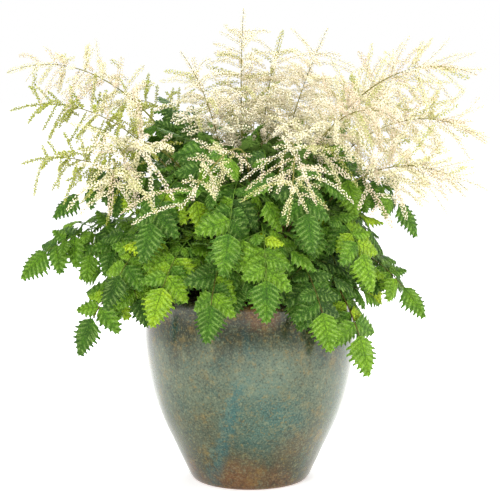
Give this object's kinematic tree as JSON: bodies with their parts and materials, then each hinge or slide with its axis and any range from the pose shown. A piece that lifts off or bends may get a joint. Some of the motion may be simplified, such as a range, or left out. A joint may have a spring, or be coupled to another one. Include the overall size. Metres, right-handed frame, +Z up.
{
  "type": "potted goatsbeard",
  "caption": "Goatsbeard in a glazed round pot: arching divided leaves with toothed leaflets, and feathery cream plumes above them.",
  "frame": {"origin": "centre of the pot's foot, on the ground", "axes": "+Z up, -Y to the front, +X to the right as seen from the front"},
  "size_m": [0.824, 0.645, 0.826],
  "materials": {
    "glazed_pot": "glossy mottled glaze, dark olive above, grey green and teal below, rusty at the foot",
    "potting_soil": "rough, crumbly",
    "leaf": "satin, veined",
    "flower_stem": "satin",
    "floret": "matte",
    "flower_bud": "matte"
  },
  "bodies": {
    "root": {"pot": "glazed_pot", "potting_soil": "potting_soil", "leaf_01": "leaf", "leaf_02": "leaf", "leaf_03": "leaf", "leaf_04": "leaf", "leaf_05": "leaf", "leaf_06": "leaf", "leaf_07": "leaf", "leaf_08": "leaf", "leaf_09": "leaf", "leaf_10": "leaf", "leaf_11": "leaf", "leaf_12": "leaf", "leaf_13": "leaf", "leaf_14": "leaf", "leaf_15": "leaf", "leaf_16": "leaf", "leaf_17": "leaf", "leaf_18": "leaf", "leaf_19": "leaf", "leaf_20": "leaf", "leaf_21": "leaf", "leaf_22": "leaf", "leaf_23": "leaf", "leaf_24": "leaf", "leaf_25": "leaf", "leaf_26": "leaf", "leaf_27": "leaf", "leaf_28": "leaf", "flower_stem_01": "flower_stem", "flower_plume_01": "floret", "flower_stem_02": "flower_stem", "flower_plume_02": "floret", "flower_stem_03": "flower_stem", "flower_plume_03": "floret", "flower_stem_04": "flower_stem", "flower_plume_04": "floret", "flower_stem_05": "flower_stem", "flower_plume_05": "floret", "flower_stem_06": "flower_stem", "flower_plume_06": "floret", "flower_stem_07": "flower_stem", "flower_plume_07": "floret", "flower_stem_08": "flower_stem", "flower_plume_08": "floret", "flower_stem_09": "flower_stem", "flower_plume_09": "floret", "flower_stem_10": "flower_stem", "flower_plume_10": "floret", "flower_stem_11": "flower_stem", "flower_plume_11": "floret", "flower_stem_12": "flower_stem", "flower_plume_12": "floret", "flower_stem_13": "flower_stem", "flower_plume_13": "floret", "budding_plume_01": "flower_bud", "budding_plume_02": "flower_bud", "budding_plume_03": "flower_bud", "budding_plume_04": "flower_bud"}
  },
  "joints": []
}
